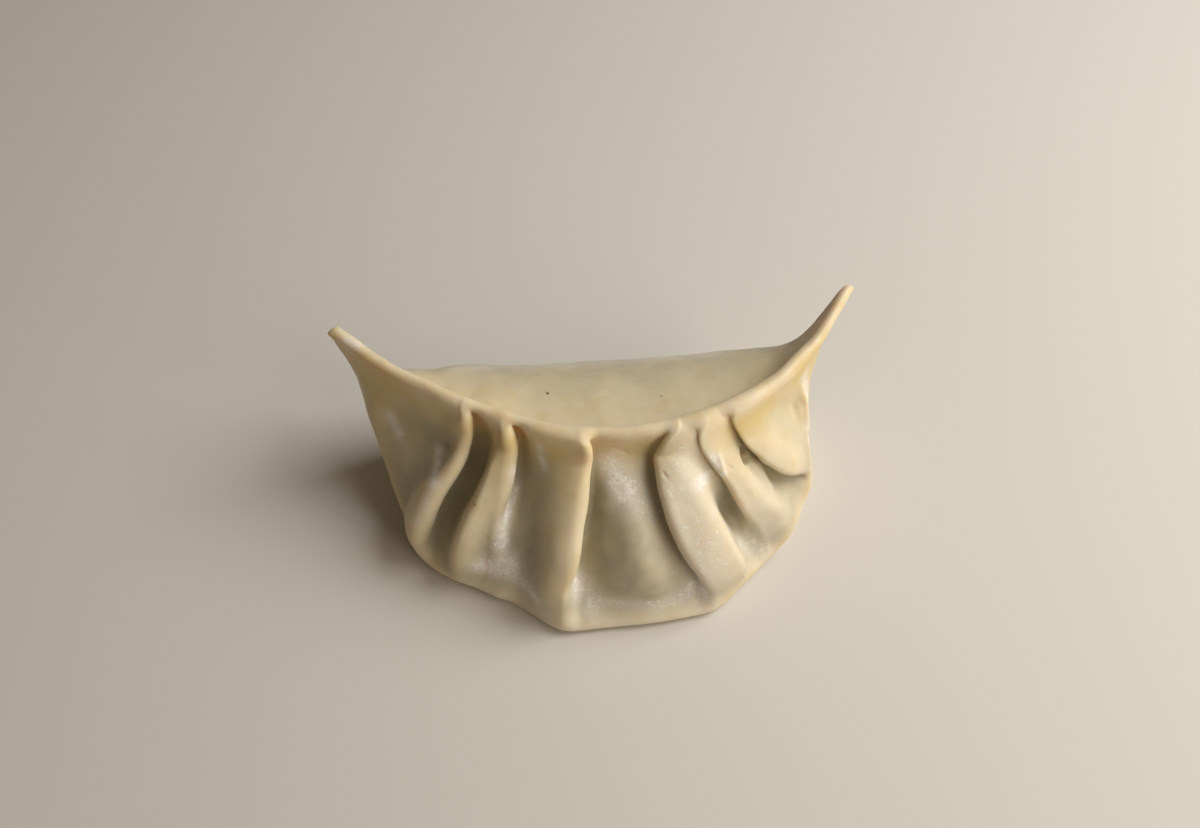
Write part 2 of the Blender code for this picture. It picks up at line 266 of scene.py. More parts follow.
def front_wall(place):
    """The front wall at a place between the ribs, one point for each row."""
    place = np.array(place, float)
    x = rib_x(place)
    top, foot = rim_point(x), rib_foot(place)
    face = top + rim_outward(x) * rim_half(x)
    rounding, drop = rim_drops(top[2] - foot[2])
    fin_foot = face + (foot - face) * FIN_LEAN
    fin_foot[2] = top[2] - drop
    share = np.clip(DOWN / FIN_SHARE, 0, 1)[:, None]
    fin = face + (fin_foot - face) * share
    fin[:, 2] = top[2] - rounding - (drop - rounding) * share[:, 0]
    share = np.clip((DOWN - FIN_SHARE) / (1 - FIN_SHARE), 0, 1)[:, None]
    chord = foot - fin_foot
    level = math.hypot(chord[0], chord[1])
    outward = unit(np.array([-chord[2] * chord[0] / level, -chord[2] * chord[1] / level, level]))
    wall = fin_foot + chord * share + outward * rib_bulge(place) * np.sin(math.pi * share**BULGE_SKEW)
    wall = eased(np.where(DOWN[:, None] < FIN_SHARE, fin, wall), WALL_EASE)
    sunk = rib_lip(place) * bump(DOWN, LIP_AT, LIP_REACH)
    sunk += rib_groove(place) * bump(DOWN, GROOVE_AT, GROOVE_REACH)
    return wall - outward * sunk[:, None]


belly_wall = front_wall(RIB_NAMES.index("belly"))
print("the belly bulges to y =", round(float(belly_wall[:, 1].min()), 1), "mm")

# %% The wall as a fine net
NET_STEPS = 16
ROWS = range(len(DOWN))
NET_PLACES = np.linspace(0, LAST_RIB, NET_STEPS * LAST_RIB + 1)
NET = np.array([front_wall(place) for place in NET_PLACES])
NET_OUTWARD = unit(np.cross(np.gradient(NET, axis=1), np.gradient(NET, axis=0)))
net_steps = np.linalg.norm(np.diff(NET, axis=0), axis=-1)
NET_RUN = np.concatenate([np.zeros((1, len(DOWN))), net_steps.cumsum(0)])


def read_row(row, distance, held):
    """What the net's columns hold at a distance along a row, in millimetres from the left tip."""
    return np.interp(distance, NET_RUN[:, row], held)


def read_net(net, run):
    """What a net of points or directions holds at a distance along each row."""
    return np.array([[read_row(row, run[row], side) for side in net[:, row].T] for row in ROWS])


def run_of(rib):
    """The distance along each row to a rib."""
    return NET_RUN[NET_STEPS * rib]


print("along the foot the front is", round(float(NET_RUN[-1, -1]), 1), "mm long")

# %% [markdown]
# ## Knife pleats
#
# A knife pleat is a tuck: the sheet runs out to a folded edge, turns back under itself, and comes out
# again as the floor of the next panel. On the left the three edges look right, and on the right the
# three look left, so all of them face the belly. A cloth simulation could fold a sheet, but it would not
# put each fold where this cook put it, so every pleat is measured instead.
#
# Each pleat is read at six places from the rim to the foot. `way` is how far its edge has moved
# sideways from its rib, `lift` how far the edge stands proud of the wall, `roll` the radius of its
# rounding, and `bead` how many degrees the rounding goes on past the top before the panel meets it.
# `tuck` is how deep the sheet turns under, and `hollow` how deep the floor sinks beside the edge. The
# panel behind the edge leaves the wall at `valley`, at the height `floor`, and has a `ridge` at `crest`.
# Valley and crest are shares of the way from the next pleat to this edge. Past the share `ends` of the
# way down, the fold has opened into a soft step. A pleat with a `head` swells just under the rim, where
# the thumb pushed it.

# %% The six pleats, in millimetres and degrees
STATIONS = (0.0, 0.2, 0.4, 0.6, 0.8, 1.0)
SINGLE = ("faces", "ends", "head")
HEAD_AT, HEAD_REACH = 0.09, 0.06
HEAD_SWELLS = {"lift": 0.6, "hollow": 0.8, "roll": 0.45}
# A rounding of half the edge's height would already be a full half circle, so it stays just under that.
MOST_ROLL = 0.48
PLEATS = {
    "pleat_1": dict(
        faces=+1, ends=1.0, head=1.0,
        way=(0.9, 1.6, 2.2, 1.2, 0.6, 0.6),
        lift=(0.2, 1.6, 2.7, 3.3, 3.1, 0.2),
        roll=(0.6, 1.1, 1.4, 1.9, 2.3, 1.0),
        bead=(10, 25, 40, 50, 25, 0),
        tuck=(0.0, 0.1, 0.2, 0.2, 0.1, 0.0),
        hollow=(0.1, 1.5, 2.8, 3.5, 2.6, 0.0),
        valley=(0.30, 0.30, 0.30, 0.25, 0.15, 0.15), crest=(0.90, 0.78, 0.85, 0.86, 0.82, 0.8),
        floor=0.0, ridge=(0.1, 1.3, 1.0, 1.8, 2.7, 0.2),
    ),
    "pleat_2": dict(
        faces=+1, ends=0.66, head=1.0,
        way=(1.2, 2.5, 2.6, 2.3, 2.0, 0.6),
        lift=(0.2, 2.3, 2.7, 1.4, 0.4, 0.0),
        roll=(0.6, 1.5, 1.6, 1.2, 0.8, 0.4),
        bead=(20, 0, -10, -35, -45, 0),
        tuck=(0.0, 0.2, 0.3, 0.1, 0.0, 0.0),
        hollow=(0.1, 2.0, 2.0, 0.8, 0.2, 0.0),
        valley=(0.4, 0.28, 0.22, 0.17, 0.18, 0.3), crest=(0.9, 0.72, 0.62, 0.55, 0.52, 0.5),
        floor=(0.0, -1.3, -2.9, -3.6, -2.2, 0.1), ridge=(0.2, 2.1, 3.1, 3.4, 2.8, 0.2),
    ),
    "pleat_3": dict(
        faces=+1, ends=0.84, head=0.5,
        way=(1.0, 1.2, 1.2, 0.6, -0.2, -0.4),
        lift=(1.1, 2.2, 3.2, 3.4, 1.8, 0.0),
        roll=(0.6, 1.1, 1.5, 1.7, 1.2, 0.6),
        bead=0,
        tuck=(0.0, 0.3, 0.5, 0.3, 0.0, 0.0),
        hollow=(0.0, 0.9, 2.0, 2.7, 2.0, 0.0),
        valley=(0.2, 0.2, 0.2, 0.2, 0.25, 0.3), crest=0.88,
        floor=(0.3, -0.1, -0.5, -0.6, -0.7, -1.5), ridge=(1.0, 2.0, 3.0, 3.3, 2.0, -0.2),
    ),
    "pleat_4": dict(
        faces=-1, ends=0.92, head=0.0,
        way=(-1.2, -3.4, -4.2, -3.2, -0.6, 0.6),
        lift=(0.5, 2.1, 2.7, 2.7, 1.9, 0.0),
        roll=(0.5, 0.9, 1.2, 1.3, 1.3, 0.6),
        bead=0,
        tuck=(0.0, 0.8, 1.1, 1.0, 0.4, 0.0),
        hollow=(0.1, 0.8, 0.8, 0.9, 1.2, 0.0),
        valley=(0.10, 0.12, 0.13, 0.10, 0.12, 0.2), crest=(0.72, 0.68, 0.56, 0.44, 0.40, 0.4),
        floor=(0.2, 1.8, 1.6, -2.0, -0.8, 0.0), ridge=(0.3, 2.3, 3.0, 3.1, 2.2, -0.2),
    ),
    "pleat_5": dict(
        faces=-1, ends=0.82, head=0.0,
        way=(-1.0, -1.0, -1.4, -1.8, -1.4, -1.0),
        lift=(0.7, 2.6, 3.3, 2.4, 0.8, 0.2),
        roll=(0.3, 0.5, 0.6, 0.8, 0.8, 0.5),
        bead=0,
        tuck=(0.0, 0.6, 0.8, 0.4, 0.0, 0.0),
        hollow=(-0.2, -1.7, -1.8, 2.4, 1.5, 0.0),
        valley=(0.10, 0.10, 0.12, 0.15, 0.15, 0.2), crest=(0.85, 0.8, 0.7, 0.6, 0.6, 0.6),
        floor=(0.2, 1.0, 1.5, 0.2, -1.2, -0.6), ridge=(0.6, 2.4, 3.1, 2.9, 1.9, 0.7),
    ),
    "pleat_6": dict(
        faces=-1, ends=1.02, head=0.0,
        way=(-1.2, -0.8, -1.9, -2.5, -1.1, 0.1),
        lift=(0.6, 2.0, 3.0, 3.0, 1.5, 0.2),
        roll=(0.3, 0.4, 0.5, 0.7, 0.8, 0.5),
        bead=0,
        tuck=(0.0, 0.8, 1.1, 1.1, 0.8, 0.0),
        hollow=(-0.1, -0.7, -0.9, 1.0, 1.6, 0.2),
        valley=0.2, crest=0.9,
        floor=0.0, ridge=(0.6, 1.9, 2.9, 2.9, 1.5, 0.2),
    ),
}
print(len(PLEATS), "pleats, each measured at", len(STATIONS), "places")

# %% The pleats at every row
for name, pleat in PLEATS.items():
    for item, told in pleat.items():
        if item not in SINGLE:
            pleat[item] = smooth_curve(STATIONS, np.broadcast_to(told, len(STATIONS)))(DOWN)
            pleat[item] += HEAD_SWELLS.get(item, 0) * pleat["head"] * bump(DOWN, HEAD_AT, HEAD_REACH)
    pleat["edge"] = run_of(RIB_NAMES.index(name)) + pleat["way"]
    pleat["roll"] = np.minimum(pleat["roll"], MOST_ROLL * (pleat["lift"] + pleat["hollow"]))
proudest = max(pleat["lift"].max() for pleat in PLEATS.values())
print("the proudest fold stands", round(proudest, 1), "mm off the wall")

# %% [markdown]
# ## Folds and panels, cut across
#
# Each row of the sheet is a line across the folds: how far along the wall it has run, and how high it
# stands off it. Cut so, a folded edge is half a circle as thick as the doubled sheet, with the tuck
# behind it and the floor below. The panel between two folds is one smooth line through its floor and
# its ridge. Where a fold dies out its columns would fall on each other, so there they spread apart.
#
# A Displace modifier could raise the folds, but it only lifts a surface and can't turn it back under
# itself. Columns that are placed by run and height can, so the tucks are real and cast real shade.

# %% The columns of a fold
# The rounding turns from straight up, 90 degrees, over the edge to almost straight down.
ROLL_COLUMNS = 6
ROLL_START, ROLL_END = 90, -80
TUCK_FOOT = 0.9
FLOOR_START = 0.2
# Where a fold has died out, its columns stand this far apart, with the edge this share of the way along.
GONE_SPACING, GONE_MIDDLE = 0.36, 0.6
STARTS_OVER, ENDS_OVER = 0.06, 0.24


def fold_path(pleat):
    """The run and height of a fold's columns, from the flap to the floor, each for every row."""
    roll, lift, hollow, tuck = pleat["roll"], pleat["lift"], pleat["hollow"], pleat["tuck"]
    past, height = [], []
    for share in np.linspace(0, 1, ROLL_COLUMNS):
        turn = np.radians((1 - share) * (ROLL_START + pleat["bead"]) + share * ROLL_END)
        past.append(roll * (np.cos(turn) - 1))
        height.append(lift + roll * (np.sin(turn) - 1))
    past += [-roll - tuck, -roll - TUCK_FOOT * tuck, np.full_like(roll, FLOOR_START)]
    height += [lift - 2 * roll, -hollow, -hollow]
    past, height = np.array(past), np.array(height)
    share = np.linspace(0, 1, len(past))[:, None]
    full = smooth_step(DOWN / STARTS_OVER) * smooth_step((pleat["ends"] - DOWN) / ENDS_OVER)
    past = full * past + (1 - full) * GONE_SPACING * len(past) * (share - GONE_MIDDLE)
    height = full * height + (1 - full) * (lift + (-hollow - lift) * smooth_step(share))
    run = pleat["edge"] + pleat["faces"] * past
    return (run, height) if pleat["faces"] > 0 else (run[::-1], height[::-1])


print("each fold has", len(fold_path(PLEATS["pleat_1"])[0]), "columns")

# %% The columns of a panel, and the whole sheet
PANEL_COLUMNS = {"fold to fold": 9, "end to fold": 8, "belly": 13, "plain": 2, "tip": 3}
END_CROWDING, TIP_CROWDING = 0.4, 1.0
# The belly is sunk beside both folds. At these places across it, this share of their depth is left.
BELLY_LEFT, BELLY_LEFT_SHARE = 0.10, 0.6
BELLY_BESIDE, BELLY_BESIDE_SHARE = 0.25, 0.12
BELLY_RIGHT, BELLY_RIGHT_SHARE = 0.84, 0.3
BELLY_CREST = smooth_curve(STATIONS, (0.50, 0.52, 0.56, 0.62, 0.64, 0.60))(DOWN)
BELLY_RISE = smooth_curve(STATIONS, (0.0, 0.0, 0.3, 0.7, 0.5, 0.0))(DOWN)


def panel_shares(kind):
    """Shares of the way across a panel, closer together at both ends, most of all at a horn's tip."""
    share = np.arange(1, PANEL_COLUMNS[kind] + 1) / (PANEL_COLUMNS[kind] + 1)
    crowding = TIP_CROWDING if kind == "tip" else END_CROWDING
    return (1 - crowding) * share + crowding * (0.5 - 0.5 * np.cos(math.pi * share))


def panel_heights(left, right, shares, start, end):
    """The heights of a panel's columns between its two sides, whose heights are start and end."""
    nothing = np.zeros_like(DOWN)
    if right and right["faces"] > 0:
        knots = [nothing, right["valley"], right["crest"], nothing + 1]
        heights = [start, right["floor"], right["ridge"], end]
    elif left and left["faces"] < 0:
        knots = [nothing, 1 - left["crest"], 1 - left["valley"], nothing + 1]
        heights = [start, left["ridge"], left["floor"], end]
    else:
        knots = [0, BELLY_LEFT, BELLY_BESIDE, BELLY_CREST, BELLY_RIGHT, 1]
        knots = [nothing + knot for knot in knots]
        sunk = [share * start for share in (1, BELLY_LEFT_SHARE, BELLY_BESIDE_SHARE)]
        heights = [*sunk, BELLY_RISE, BELLY_RIGHT_SHARE * end, end]
    rows = zip(np.array(knots).T, np.array(heights).T)
    return np.array([smooth_curve(places, values)(shares) for places, values in rows]).T


def panel_kind(rib, left, right):
    """The kind of panel that ends at a rib, between its left and right pleats, if it has them."""
    if rib in (1, LAST_RIB):
        return "tip"
    if left and right:
        return "belly" if left["faces"] > right["faces"] else "fold to fold"
    return "end to fold" if left or right else "plain"


def sheet_path():
    """The run and height of every column, each for every row, and how many columns are in folds."""
    runs, heights, folded, before = [], [], 0, None
    for rib, name in enumerate(RIB_NAMES):
        if name == "belly":
            continue
        pleat = PLEATS.get(name)
        run, height = fold_path(pleat) if pleat else (run_of(rib)[None], np.zeros((1, len(DOWN))))
        if runs:
            shares = panel_shares(panel_kind(rib, before, pleat))
            heights.extend(panel_heights(before, pleat, shares, heights[-1], height[0]))
            runs.extend([runs[-1] + (run[0] - runs[-1]) * share for share in shares])
        runs.extend(run)
        heights.extend(height)
        folded += len(run) if pleat else 0
        before = pleat
    return np.array(runs), np.array(heights), folded


RUNS, HEIGHTS, FOLDED = sheet_path()
FRONT = np.array([read_net(NET, run) for run in RUNS])
FRONT += np.array([read_net(NET_OUTWARD, run) for run in RUNS]) * HEIGHTS[..., None]
PLACES = np.array([[read_row(row, run[row], NET_PLACES) for row in ROWS] for run in RUNS])
print(len(RUNS), "columns,", FOLDED, "of them in folds")

# %% [markdown]
# ## Under the body and up the back
#
# The cook leaves the back half plain, so it is one smooth bulge. Each rib climbs it as a Bezier curve
# that is pulled toward the shoulder: straight rows would make a box, and an arc would be too round. The
# pleats' many columns are spread evenly again before they cross the back.

# %% The back of one column
UNDER_ROWS = (0.03, 0.09, 0.27, 0.73, 0.93)
FOOT_ROUNDING = 0.7
BACK_ROWS = (0.0, 0.08, 0.16, 0.26, 0.36, 0.46, 0.56, 0.67, 0.78, 0.89, 1.0)
FIN_BACK_ROWS = (0.4, 0.8)
SHOULDER_PULL = 0.72
HORN_SAG = 0.4


def under_points(foot_place, heel_place):
    """The way under the body, from near the front foot to near the heel."""
    share = np.array(UNDER_ROWS)
    place = foot_place + (heel_place - foot_place) * share
    foot, heel, grounded = rib_foot(place), rib_heel(place), rib_grounded(place)
    points = foot + (heel - foot) * share[:, None]
    inward = share * np.linalg.norm((heel - foot)[:, :2], axis=-1)
    rounded = foot[:, 2] * (1 - smooth_step(inward / (FOOT_ROUNDING * foot[:, 2])))
    points[:, 2] = grounded * rounded * (share < 0.5) + (1 - grounded) * (points[:, 2] - HORN_SAG)
    return points


def back_points(heel_place, top_place):
    """The way up the back wall, from the heel round the shoulder to the fin and the rim."""
    share = np.array(BACK_ROWS + (1.0,) * (len(FIN_BACK_ROWS) + 1))
    place = heel_place + (top_place - heel_place) * share
    x = rib_x(place)
    top, heel, shoulder = rim_point(x), rib_heel(place), rib_shoulder(place)
    face = top - rim_outward(x) * rim_half(x)[:, None]
    rounding, drop = rim_drops(top[:, 2] - rib_foot(place)[:, 2])
    fin_foot, edge = face.copy(), face.copy()
    fin_foot[:, 2] -= drop
    edge[:, 2] -= rounding
    start = heel + (shoulder - heel) * SHOULDER_PULL
    end = fin_foot + (shoulder - fin_foot) * SHOULDER_PULL
    share = share[:, None]
    rest = 1 - share
    wall = rest**3 * heel + 3 * rest**2 * share * start + 3 * rest * share**2 * end + share**3 * fin_foot
    up = np.array((0.0,) * len(BACK_ROWS) + FIN_BACK_ROWS + (1.0,))[:, None]
    return wall + (edge - fin_foot) * up


def section(front, foot_place, heel_place, top_place, rise):
    """One column of the sheet, from the rim's top down the front, under, and up the back to it again."""
    top = rim_point(rib_x(top_place))[None] + np.array([0, 0, RIM_CROWN + rise])
    under, back = under_points(foot_place, heel_place), back_points(heel_place, top_place)
    return np.concatenate([top, front, under, back, top])


print("the fin's foot is", rim_drops(RIM_HEIGHT)[1], "mm below the rim at the front and the back")

# %% The whole sheet on its ribs
TOP_EASE, HEEL_EASE = 6, 12
# The rim stands this share of a fold's lift higher where the fold meets it.
PLEAT_RISE = 0.5
TOP_PLACES = eased(PLACES[:, 0], TOP_EASE)
HEEL_PLACES = eased(PLACES[:, -1], HEEL_EASE)
RISES = PLEAT_RISE * np.maximum(HEIGHTS[:, 0], 0)
FRONT[..., 2] += RISES[:, None] * smooth_step(1 - DOWN / FIN_SHARE)
SHEET = np.array([section(*one) for one in zip(FRONT, PLACES[:, -1], HEEL_PLACES, TOP_PLACES, RISES)])
print("the sheet is", SHEET.shape[0], "columns of", SHEET.shape[1], "rows")

# %% [markdown]
# ## Where the dough is stretched, and where it is pinched
#
# Over the filling the sheet is stretched thin, and the grey of the filling shows through. In the rim,
# in the standing folds and along the foot it is thick or doubled, and stays cream. Under the rim two
# sheets are pressed into one with nothing behind them, so light passes through and the dough glows a
# warm yellow, and that glow is painted into the colour of the fin and the horns. These shades could
# be painted on as a picture, but the rows and columns already know where they are: each vertex gets
# one number for the stretch and one for the pinch, from 0 to 1, for the finish.

# %% The stretch at each place of the sheet
# Shares of the way down the front, millimetres off the wall, and shares of the way up the back.
THIN_FROM, THIN_BY = 0.14, 0.36
FOOT_FROM, FOOT_BY = 0.86, 1.0
PROUD_FROM, PROUD_BY, PROUD_THICKENS = 0.3, 2.6, 0.85
BACK_FROM, BACK_BY, UNDER_STRETCH = 0.55, 1.0, 0.3


def risen(values, start, end):
    """0 up to the start, 1 from the end on, and a soft rise between them."""
    return smooth_step((values - start) / (end - start))


def stretched_front():
    """How thin the front wall is, for each column and row."""
    filled = risen(DOWN, THIN_FROM, THIN_BY) * (1 - risen(DOWN, FOOT_FROM, FOOT_BY))
    thickened = PROUD_THICKENS * risen(HEIGHTS, PROUD_FROM, PROUD_BY)
    return filled * (1 - thickened) * rib_grounded(PLACES)


def stretched_back():
    """How thin the rows under the body and up the back are, from the foot to the rim, for each column."""
    under = np.full(len(UNDER_ROWS), UNDER_STRETCH)
    wall = 1 - risen(np.array(BACK_ROWS), BACK_FROM, BACK_BY)
    fin = np.zeros(len(FIN_BACK_ROWS) + 1)
    return np.tile(np.concatenate([under, wall, fin]), (len(RUNS), 1))


no_rim = np.zeros((len(RUNS), 1))
STRETCHED = np.hstack([no_rim, stretched_front(), stretched_back(), no_rim])
print(round(100 * float((STRETCHED > 0.5).mean())), "% of the sheet is stretched thin")

# %% The pinch at each place of the sheet
# The pinch also places the painted glow: where light shines through the pinched fin and the free horns.
PINCH_FROM, PINCH_BY = 0.10, 0.52
WING_PINCH = 0.8
pinch_down = smooth_step(DOWN / PINCH_FROM) * (1 - risen(DOWN, PINCH_FROM, PINCH_BY))
pinched_front = np.maximum(pinch_down, WING_PINCH * (1 - rib_grounded(PLACES)))
PINCHED = np.hstack([no_rim, pinched_front, np.zeros_like(stretched_back()), no_rim])
print(round(100 * float((PINCHED > 0.5).mean())), "% of the sheet is pinched")

# %% [markdown]
# ## From a flat sheet to a shut dumpling
#
# A grid with one vertex for each column and row is the flat sheet. Its vertices are laid on the ribs,
# its two long edges meet on top of the rim and are merged, which is the pinch, and the two ends are
# filled. Fourteen rings could be bridged instead, but a grid keeps its rows and columns through all of
# this, so the dough has an even net of quads, which is what Subdivision Surface rounds best.


# %% Read and write the dough's vertices
def deselect_all():
    """Leaves nothing selected, so that the next operator acts on its own object alone."""
    bpy.ops.object.select_all(action="DESELECT")


def points_of(obj):
    """The object's vertices, in metres."""
    flat = np.empty(3 * len(obj.data.vertices), np.float32)
    obj.data.vertices.foreach_get("co", flat)
    return flat.reshape(-1, 3).astype(float)


def move_points(obj, points):
    """Puts every vertex at its new point, in metres."""
    obj.data.vertices.foreach_set("co", points.astype(np.float32).ravel())
    obj.data.update()


def store(obj, name, values):
    """Keeps one number for each vertex, under a name that a material can read."""
    attribute = obj.data.attributes.get(name) or obj.data.attributes.new(name, "FLOAT", "POINT")
    attribute.data.foreach_set("value", np.asarray(values, np.float32).ravel())


deselect_all()
print(len(bpy.context.selected_objects), "objects are selected now")

# %% Lay the sheet, pinch it and close its ends
FLAT_SIZE = 100 * MM
SAME_PLACE = 0.001 * MM


def lay_sheet(sheet):
    """A grid whose vertices are laid on the ribs, in metres."""
    deselect_all()
    across, down = sheet.shape[:2]
    bpy.ops.mesh.primitive_grid_add(x_subdivisions=across - 1, y_subdivisions=down - 1, size=FLAT_SIZE)
    dough = bpy.context.object
    dough.name = dough.data.name = "dumpling"
    move_points(dough, sheet.transpose(1, 0, 2).reshape(-1, 3) * MM)
    store(dough, "stretched", STRETCHED.T)
    store(dough, "pinched", PINCHED.T)
    return dough


def pinch_shut(dough):
    """Merges the sheet's two long edges and fills its two ends."""
    bpy.ops.object.mode_set(mode="EDIT")
    bpy.ops.mesh.select_all(action="SELECT")
    bpy.ops.mesh.remove_doubles(threshold=SAME_PLACE)
    bpy.ops.mesh.select_all(action="DESELECT")
    bpy.ops.mesh.select_non_manifold()
    bpy.ops.mesh.edge_face_add()
    bpy.ops.mesh.select_all(action="SELECT")
    bpy.ops.mesh.normals_make_consistent(inside=False)
    bpy.ops.object.mode_set(mode="OBJECT")
    dough.data.shade_smooth()


dumpling = lay_sheet(SHEET)
pinch_shut(dumpling)
print("the shut sheet has", len(dumpling.data.polygons), "faces")

# %% [markdown]
# ## Rounding
#
# Dough has no sharp edge anywhere. A Bevel would round only the edges, and a sculpting brush would be
# uneven, so Subdivision Surface turns the whole net of quads into soft dough. It is applied, because
# what follows presses marks into single vertices, and the finish reads places that are stored on them.


# %% Apply modifiers one at a time
def apply_modifier(obj, kind, **settings):
    """Adds a modifier with its settings and applies it."""
    deselect_all()
    obj.select_set(True)
    bpy.context.view_layer.objects.active = obj
    modifier = obj.modifiers.new(kind.title(), kind)
    for name, value in settings.items():
        setattr(modifier, name, value)
    bpy.ops.object.modifier_apply(modifier=modifier.name)


ROUNDING_LEVELS = 2
apply_modifier(dumpling, "SUBSURF", levels=ROUNDING_LEVELS, render_levels=ROUNDING_LEVELS)
print("rounded, it has", 2 * len(dumpling.data.polygons), "triangles")

# %% Stand it where the plain solid stands
# The middle of the plain solid, in the measures of the ribs.
MAKER_ORIGIN = np.array([2.11, 3.13, 0.0])
move_points(dumpling, points_of(dumpling) - MAKER_ORIGIN * MM + STAND)
print("the rim now comes nearest the front at x =", round(RIM_FRONT_X - MAKER_ORIGIN[0], 2), "mm")

# %% [markdown]
# ## Soft lumps
#
# Rolled dough is never even: it is a little thicker here and thinner there, and every finger leaves a
# shallow dent. A Displace modifier can push vertices along their normals, but in a tight fold the two
# faces would then run into each other. Here the red, green and blue of a coloured clouds texture push
# along x, y and z, so both faces of a fold drift the same way. The flat underside is kept.

# %% Lumps, in millimetres
# name: how wide its lumps are, how strong they are
LUMPS = {"fingertips": (9.0, 0.8), "kneading": (3.2, 0.12)}
KEPT_FLAT, FULL_LUMPS = 0.3, 2.5


def lumpy(obj, name, wide, tall):
    """Pushes the dough by clouds so wide and so tall, and returns the largest move. All in millimetres."""
    clouds = bpy.data.textures.new(name, "CLOUDS")
    clouds.noise_scale, clouds.noise_depth, clouds.cloud_type = wide * MM, 1, "COLOR"
    before = points_of(obj)
    push = dict(texture=clouds, texture_coords="LOCAL", direction="RGB_TO_XYZ", strength=tall * MM)
    apply_modifier(obj, "DISPLACE", **push)
    share = risen((before[:, 2] - STAND[2]) / MM, KEPT_FLAT, FULL_LUMPS)[:, None]
    move_points(obj, before + (points_of(obj) - before) * share)
    return np.abs(points_of(obj) - before).max() / MM


for name, (wide, tall) in LUMPS.items():
    print(name, "move the dough by up to", round(lumpy(dumpling, name, wide, tall), 2), "mm")

# %% [markdown]
# ## Marks of the hand
#
# Nails, folds and drying leave small creases and ridges. A bump map would only shade them and leave the
# dough smooth from the side, so they are shaped. Each one is a short route over the dough, and the
# vertices near it are pressed in, or raised, along their normals, most in the middle of the route.


# %% The distance to a route
def near_route(points, route):
    """The distance from each point to a route, and the share of the way along it, in millimetres."""
    route = np.array(route, float)
    lengths = np.linalg.norm(np.diff(route, axis=0), axis=1)
    starts = np.concatenate([[0], lengths.cumsum()])
    best, along = np.full(len(points), np.inf), np.zeros(len(points))
    for start, end, length, before in zip(route, route[1:], lengths, starts):
        share = np.clip((points - start) @ (end - start) / length**2, 0, 1)
        away = np.linalg.norm(points - start - share[:, None] * (end - start), axis=1)
        closer = away < best
        best = np.where(closer, away, best)
        along = np.where(closer, (before + share * length) / starts[-1], along)
    return best, along


level_route = ((-5, 3, 0), (5, 3, 0))
print("a point 3 mm beside a route is", near_route(np.zeros((1, 3)), level_route)[0][0], "mm off")

# %% The marks, in millimetres
MARKS = {
    # name: height, half width, route
    "slit by pleat 6": (-1.5, 0.5, ((20.5, -3.6, 21.7), (20.5, -5, 21), (21, -6.2, 20))),
    "lobe by the slit": (0.7, 1.3, ((22.3, -4.6, 20.5), (23.5, -6.5, 17.5), (25, -8.5, 14.5))),
    "edge of the lobe": (-0.45, 0.5, ((21, -6.2, 20), (22, -7.6, 17.5), (23, -8.8, 15))),
    "line on pleat 5": (0.35, 0.4, ((16.5, -6, 24), (16.5, -7, 23), (17, -8.5, 21.5))),
    "nick on pleat 4": (-0.3, 0.22, ((7.6, -8.0, 23.2), (8.8, -9.8, 22.5))),
    "scratch": (-0.25, 0.25, ((18, -7.5, 22), (18.5, -7.5, 21.5))),
    "dry arc": (-0.22, 0.35, ((-1, -4, 24.5), (0.5, -4, 25), (2.5, -4, 23.5), (3.5, -4, 22.5))),
    "dimple on pleat 1": (-0.3, 0.6, ((-23.3, 2.9, 20), (-23.7, 2.1, 19))),
    "ridge of the right wing": (0.6, 0.6, ((31, 5, 24), (32, 4.5, 19), (32.3, 2.5, 16), (31.5, 0, 15))),
    "hollow of the right wing": (-0.4, 0.8, ((29.5, 3.5, 22.5), (30.5, 2.5, 18), (30, 0, 16))),
}
# A mark fades at both ends, over this share of its route, and its ends are this far into the fade.
TAPER, BLUNT_END = 0.3, 0.2


def press_marks(obj):
    """Presses every mark into the dough, and returns the deepest move in millimetres."""
    points = (points_of(obj) - STAND) / MM
    normals = np.empty(3 * len(points), np.float32)
    obj.data.vertex_normals.foreach_get("vector", normals)
    moved = np.zeros(len(points))
    for height, reach, route in MARKS.values():
        away, along = near_route(points, route)
        tapered = smooth_step(along / TAPER + BLUNT_END) * smooth_step((1 - along) / TAPER + BLUNT_END)
        moved += height * tapered * bump(away, 0, reach)
    move_points(obj, points_of(obj) + normals.reshape(-1, 3) * moved[:, None] * MM)
    return np.abs(moved).max()


print("the deepest mark is", round(press_marks(dumpling), 2), "mm")

# %% [markdown]
# ## Flour
#
# The cook dusts the board, so flour sticks along the foot, in the pits between the folds and wherever
# a thumb pressed. Noise alone would dust the dough evenly, and real grains would take millions of faces.
# So each dusting is a short route over the dough with a width and a weight. A vertex takes flour by how
# near it lies to a route, and the finish breaks the dusting up into clumps.

